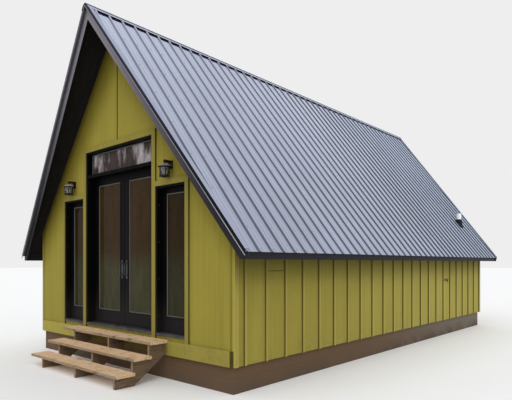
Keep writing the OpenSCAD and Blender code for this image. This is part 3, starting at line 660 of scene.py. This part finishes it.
def join(shapes):
    """Several (points, quads) shapes as one."""
    start = np.cumsum([0] + [len(p) for p, q in shapes[:-1]])
    return np.concatenate([p for p, q in shapes]), np.concatenate([q + s for (p, q), s in zip(shapes, start)])

# %% A node's corners, and a mesh object that rides on its body
def corners_of(node):
    """A node's lowest and highest corners as arrays."""
    return [np.array(corner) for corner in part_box(node)]

def place_piece(name, shape, paint, body="root", smooth=True):
    """Makes the mesh object, gives it its finish and lets it ride on its body."""
    points, quads = shape
    mesh = bpy.data.meshes.new(name)
    mesh.from_pydata(points.tolist(), [], quads.tolist())
    mesh.polygons.foreach_set("use_smooth", np.full(len(quads), smooth))
    mesh.materials.append(paint.material)
    piece = bpy.data.objects.new(name, mesh)
    bpy.context.scene.collection.objects.link(piece)
    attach(piece, body)
    print(name, len(quads) * 2, "triangles")

# %% [markdown]
# ## Roofing screws
# Long sheets are held by hexagon screws with a washer, in rows at each purlin, on the flat beside every
# rib. One screw is a lathe shape of seven rings with six sides. A row's height on the slope and a rib's Y
# give its place, the slope gives its basis, and a mask drops the screws that would lie outside the
# prow-shaped rakes. Instances would be lighter, but a piece is one mesh, so the copies are worked out as
# one array.

# %% Places on the slope
SIDES = ((1, "right"), (-1, "left"))
FRONT_RAKE, REAR_RAKE = (0.503, 0.178), (0.600, 0.040)  # each rake's overhang at the ridge and at the eave

def slope_point(side, x, y, lift):
    """The point (x, ridge - rise x) of the roof's plane, raised by lift times (sin, cos) of the pitch."""
    z = ridge_z - roof_rise * x
    return np.stack([side * (x + lift * math.sin(pitch)), y, z + lift * math.cos(pitch)], -1)

def slope_basis(side):
    """Rows: down the slope, along the ridge, and square out of the slope."""
    return np.array([[side * math.cos(pitch), 0, -math.sin(pitch)], [0, side, 0],
                     [side * math.sin(pitch), 0, math.cos(pitch)]])

def rake_out(x, top, foot):
    """How far a rake stands out of its gable wall over x: a straight line from top to foot."""
    return top + (foot - top) * x / eave_x

# %% Screws
PURLIN = 0.61  # from row to row on the slope
FIRST_ROW, SECOND_ROW, LAST_ROW = 0.045, 0.40, 4.55  # up the slope from the eave
BESIDE_RIB, RAKE_MARGIN, RIDGE_MARGIN = 0.042, 0.09, 0.16
SHEET_TOP = 0.0022  # the washers sit on the sheet, this far above the roof's plane
screw = lathe([1e-4, 0.0042, 0.0046, 0.0050, 0.0088, 0.0092, 0.0092],
              [0.0066, 0.0066, 0.0060, 0.0022, 0.0016, 0.0006, -0.001], 6)
rows = np.append(FIRST_ROW, np.arange(SECOND_ROW, LAST_ROW, PURLIN)) * math.cos(pitch)
ribs = front_y + FIRST_RIB + RIB * np.arange(-3, 45)
x, y = (g.ravel() for g in np.meshgrid(eave_x - rows, ribs + BESIDE_RIB, indexing="ij"))
low = front_y - rake_out(x, *FRONT_RAKE) + RAKE_MARGIN
high = rear_y + rake_out(x, *REAR_RAKE) - RAKE_MARGIN
keep = (y > low) & (y < high) & (x > RIDGE_MARGIN)
for side, name in SIDES:
    places = slope_point(side, x[keep], y[keep], SHEET_TOP)
    place_piece(name + "_roof_screws", repeat(screw, places, slope_basis(side)), fold,
                smooth=False)

# %% [markdown]
# ## Closures under the ridge cap
# Between two ribs the cap stands clear of the sheet, and strips of black foam fill these gaps. A strip's
# outline is the trapezoid between the flanks of two ribs; its two faces are that outline at two depths. A
# Boolean cut against the sheet would fit more closely, but it isn't needed in the cap's shade.

# %% Foam between the ribs
RIB_FOOT, RIB_CROWN = 0.024, 0.011  # half the width of a rib at its foot and at its crown
STRIP_LOW, STRIP_HIGH = 0.0015, 0.0205
STRIP_DEPTH, STRIP_DOWN = 0.016, 0.074
reach = RIB - 0.0016  # a little play at the far rib
outline = np.array([[RIB_FOOT, STRIP_LOW], [reach - RIB_FOOT, STRIP_LOW],
                    [reach - RIB_CROWN, STRIP_HIGH], [RIB_CROWN, STRIP_HIGH]])
corners = np.array([[down, y, lift] for down in (0.0, STRIP_DEPTH) for y, lift in outline])
strip = corners, outward(corners, np.array([[0, 1, 2, 3], [7, 6, 5, 4], [0, 4, 5, 1], [1, 5, 6, 2],
                                            [2, 6, 7, 3], [3, 7, 4, 0]]))
starts = front_y + FIRST_RIB + RIB * np.arange(-2, 43)
for side, name in SIDES:
    own = starts if side > 0 else starts + RIB
    places = slope_point(side, np.full(len(own), STRIP_DOWN), own, 0.0)
    place_piece(name + "_rib_closures", repeat(strip, places, slope_basis(side)), foam,
                smooth=False)

# %% [markdown]
# ## Glazing beads
# Each pane is held in its sash by a plastic bead with a rounded face, pale against the black paint. A bead
# is a profile carried round the pane's four corners: a point of the profile lies so far in from the edge
# and so far out from the glass, and at a mitre both meet. A bevelled curve would pinch at the mitres, and a
# profile that is only moved from corner to corner keeps its width. The room side has the same bead.

# %% Beads round a pane
SIDE_PANE = 0.408  # the width of a side light's pane

def bead_ring(low, high, y_glass, out, width=0.016, depth=0.011):
    """A quarter-round frame: width cos t in from the edge, depth sin t out of the glass, on the side out."""
    turn = np.linspace(0, np.pi / 2, 6)
    inset = np.append(-0.002, width * np.cos(turn))
    proud = np.append(0.0, depth * np.sin(turn))
    corners = [(low[0], low[1], 1, 1), (high[0], low[1], -1, 1), (high[0], high[1], -1, -1),
               (low[0], high[1], 1, -1)]
    rings = [np.stack([cx + sx * inset, np.full(len(inset), y_glass) + out * proud, cz + sz * inset], -1)
             for cx, cz, sx, sz in corners]
    points = np.concatenate(rings)
    return points, outward(points, grid_quads(4, len(inset), True, True))

def beads(glass_low, glass_high):
    """Beads on both faces of one pane."""
    edge_low, edge_high = glass_low[[X, Z]], glass_high[[X, Z]]
    return join([bead_ring(edge_low, edge_high, glass_low[Y], -1),
                 bead_ring(edge_low, edge_high, glass_high[Y], 1)])

for side in ("left", "right"):
    ring = beads(*corners_of(side + "_door_glass"))
    place_piece(side + "_door_beads", ring, bead_paint, side + "_door")
place_piece("transom_beads", beads(*corners_of("transom_glass")), bead_paint)
low, high = corners_of("side_light_glass")
inner = high[X] - SIDE_PANE
panes = [(np.array([inner, low[Y], low[Z]]), high), (low, np.array([-inner, high[Y], high[Z]]))]
place_piece("side_light_beads", join([beads(*pane) for pane in panes]), bead_paint)

# %% [markdown]
# ## Screw plugs in the side lights' jambs
# The fixed side lights are screwed through their jambs at four heights, and small grey plugs close the
# holes. A plug is a low turned button, so it is made like a screw: one lathe shape, and a basis that turns
# its axis from Z to X.

# %% Plugs
JAMB, BETWEEN_JAMBS = 0.030, 0.590
PLUG_BACK = 0.026  # how far the plugs sit behind the siding's face
PLUG_ROWS, FIRST_PLUG, PLUG_STEP = 4, 0.866, 0.530
plug = lathe([1e-4, 0.0040, 0.0058, 0.0060], [0.0022, 0.0020, 0.0010, -0.001], 16)
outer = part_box("side_lights")[HIGH][X] - JAMB
inner = outer - BETWEEN_JAMBS
heights = FIRST_PLUG + PLUG_STEP * np.arange(PLUG_ROWS)
faces = (inner, outer, -inner, -outer)
places = np.array([[face, front_y + PLUG_BACK, z] for face in faces for z in heights])
bases = np.repeat([[[0, s, 0], [0, 0, 1], [s, 0, 0]] for s in (1, -1, -1, 1)], PLUG_ROWS, axis=0)
place_piece("jamb_plugs", repeat(plug, places, bases), bead_paint)

# %% [markdown]
# ## Lantern scrolls
# Behind each opening of the lantern's cage stands an S-shaped scroll of thin rod. In the flat it is two
# spirals, r = a (1 - t)^0.8, that leave its middle in opposite directions; the flat figure is then wrapped
# round the cage: across becomes angle, up stays up. The rod is a tube of six sides along that path. The rim
# under the hood is the same tube, closed to a ring.

# %% Tubes along a path
def tube(path, radius, axis, sides=6, closed=False):
    """A rod along a path: each of its points plus radius (u cos t + v sin t), for t round the circle.

    The path's direction crossed with an axis that is square to it gives u, and crossed with u it gives v. An
    open tube narrows to nothing at its ends, a closed one runs on from its last point to its first."""
    ahead = np.roll(path, -1, axis=0) - np.roll(path, 1, axis=0)
    along = ahead if closed else np.gradient(path, axis=0)
    along /= np.linalg.norm(along, axis=1, keepdims=True)
    across = np.cross(along, axis)
    across /= np.linalg.norm(across, axis=1, keepdims=True)
    second = np.cross(along, across)
    turn = circle(sides)[1][:, None]
    size = np.full(len(path), radius)
    size[[0, -1]] *= 1.0 if closed else 0.05
    ring = np.cos(turn) * across[:, None] + np.sin(turn) * second[:, None]
    points = (path[:, None] + size[:, None, None] * ring).reshape(-1, 3)
    return points, outward(points, grid_quads(len(path), sides, closed, True))

def hoop(centre, radius, thick, sides=6):
    """A level ring of rod round a centre: its path is the circle (cos t, sin t) times the radius."""
    return tube(centre + radius * circle(48)[0], thick, (0, 0, 1), sides, closed=True)

def scroll(width, height):
    """Across and up of an S: one spiral at the top, its half turn at the bottom.

    For t from 0 to 1 the spiral's radius is (1 - t)^0.8 and its angle pi (1.9 t - 0.5)."""
    t = np.linspace(0, 1, 26)
    angle = np.pi * (1.9 * t - 0.5)
    reach = (1 - t) ** 0.8
    a = width / 2 * reach * np.cos(angle)
    b = height / 4 * (1 + reach * np.sin(angle))
    half = np.stack([a, b], -1)
    return np.concatenate([half[::-1], -half[1:]])

def on_cage(centre, radius, flat, turn):
    """Wraps a flat figure round the cage: across / radius is the angle from turn, up stays up."""
    angle = turn + flat[:, 0] / radius
    return centre + np.stack([radius * np.cos(angle), radius * np.sin(angle), flat[:, 1]], -1)

# %% Scrolls and rims
HOOD = 0.092  # the radius of a lantern's hood
SCROLLS, SCROLL_RADIUS, SCROLL_ROD = 6, 0.0675, 0.0038
SCROLL_WIDTH, SCROLL_HEIGHT = 0.044, 0.096
RIM_UP, RIM_RADIUS, RIM_ROD = 0.066, 0.090, 0.0030
cage_low, cage_high = corners_of("lantern_glass")
middle = (cage_low + cage_high) / 2
lantern_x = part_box("lanterns")[HIGH][X] - HOOD
rods = []
for sign in (-1, 1):
    centre = np.array([sign * lantern_x, middle[Y], middle[Z]])
    for number in range(SCROLLS):
        flat = scroll(SCROLL_WIDTH, SCROLL_HEIGHT) * [1 if number % 2 else -1, 1]
        path = on_cage(centre, SCROLL_RADIUS, flat, number * 2 * np.pi / SCROLLS)
        rods.append(tube(path, SCROLL_ROD, (path - centre) * [1, 1, 0]))
    rods.append(hoop(centre + [0, 0, RIM_UP], RIM_RADIUS, RIM_ROD))
place_piece("lantern_scrolls", join(rods), iron)

# %% [markdown]
# ## Rings of the pipe boot
# The rubber boot narrows in moulded rings towards the pipe. Each ring is a torus round the vertical pipe.
# Blender has a torus of its own, but the lantern's closed tube is one already.

# %% Boot rings
BOOT_RING, BOOT_RING_THICK = 0.0645, 0.004
pipe_low, pipe_high = corners_of("vent_pipe")
vent_x, vent_y, _ = (pipe_low + pipe_high) / 2
boot_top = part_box("vent_boot")[HIGH][Z]
rings = [hoop(np.array([vent_x, vent_y, boot_top - down]), BOOT_RING, BOOT_RING_THICK, 8)
         for down in (0.006, 0.022)]
place_piece("boot_rings", join(rings), rubber)

# %% [markdown]
# ## Floor, light and camera
# The studio is a pale floor under a plain sky. Soft light from the whole sky shows colours about as they
# are written, and one broad sun from the front right gives the forms a little direction. Where the camera
# sees the sky itself, straight, in a mirror or through glass, it has a tone of its own, near white. A sky
# picture would tint each side in its own way, so two plain tones are mixed by the kind of ray instead.

# %% Floor
def studio_floor(half_side, z):
    """A square floor with the object in its middle."""
    corner = np.array([[-1, -1, 0], [1, -1, 0], [1, 1, 0], [-1, 1, 0]]) * half_side + [0, 0, z]
    mesh = bpy.data.meshes.new("studio_floor")
    mesh.from_pydata(corner.tolist(), [], [(0, 1, 2, 3)])
    paint = Paint("floor_paper", Roughness=0.9, Specular_IOR_Level=0.1)
    tone = paint.noise(0.7, detail=2)
    paint.set(Base_Color=paint.mix(tone, (0.93, 0.93, 0.93), (0.96, 0.96, 0.96)))
    mesh.materials.append(paint.material)
    floor = bpy.data.objects.new("studio_floor", mesh)
    bpy.context.scene.collection.objects.link(floor)
    print("floor", 2 * half_side, "m square")

studio_floor(half_side=160.0, z=-0.002)

# %% Sky
world = bpy.data.worlds.new("studio_sky")
bpy.context.scene.world = world
world.use_nodes = True
sky = Graph(world.node_tree)
seen, mirrored, through = (sky.add("ShaderNodeLightPath", out=ray + " Ray")
                           for ray in ("Is Camera", "Is Glossy", "Is Transmission"))
light = sky.add("ShaderNodeBackground", inputs={"Color": (0.97, 0.985, 1.0, 1), "Strength": 0.80})
shown = sky.add("ShaderNodeBackground", inputs={"Color": (0.86, 0.855, 0.86, 1), "Strength": 1.0})
either = sky.add("ShaderNodeMixShader", inputs={0: seen.top(mirrored).top(through), 1: light, 2: shown})
sky.end("ShaderNodeOutputWorld", either)

# %% Sun
sun = bpy.data.lights.new("broad_sun", "SUN")
sun.energy = 1.1
sun.angle = math.radians(50)
sun.color = (1.0, 0.985, 0.96)
lamp = bpy.data.objects.new("broad_sun", sun)
bpy.context.scene.collection.objects.link(lamp)
lamp.rotation_euler = (math.radians(48), 0, math.radians(38))

# %% Camera: a level eye at standing height, solved from the edges of the building
camera = bpy.data.cameras.new("camera")
camera.lens = 34.38
camera.sensor_width = 36.0
camera.shift_y = 0.1227
camera.clip_end = 500
eye = bpy.data.objects.new("camera", camera)
bpy.context.scene.collection.objects.link(eye)
eye.location = (6.734, front_y - 4.271, 1.628)
eye.rotation_euler = (math.radians(90), 0, math.radians(41.783))
bpy.context.scene.camera = eye
print("eye", round(math.hypot(eye.location.x, eye.location.y), 2), "m from the middle of the cabin")

# %% Output transform
bpy.context.scene.view_settings.view_transform = "Standard"
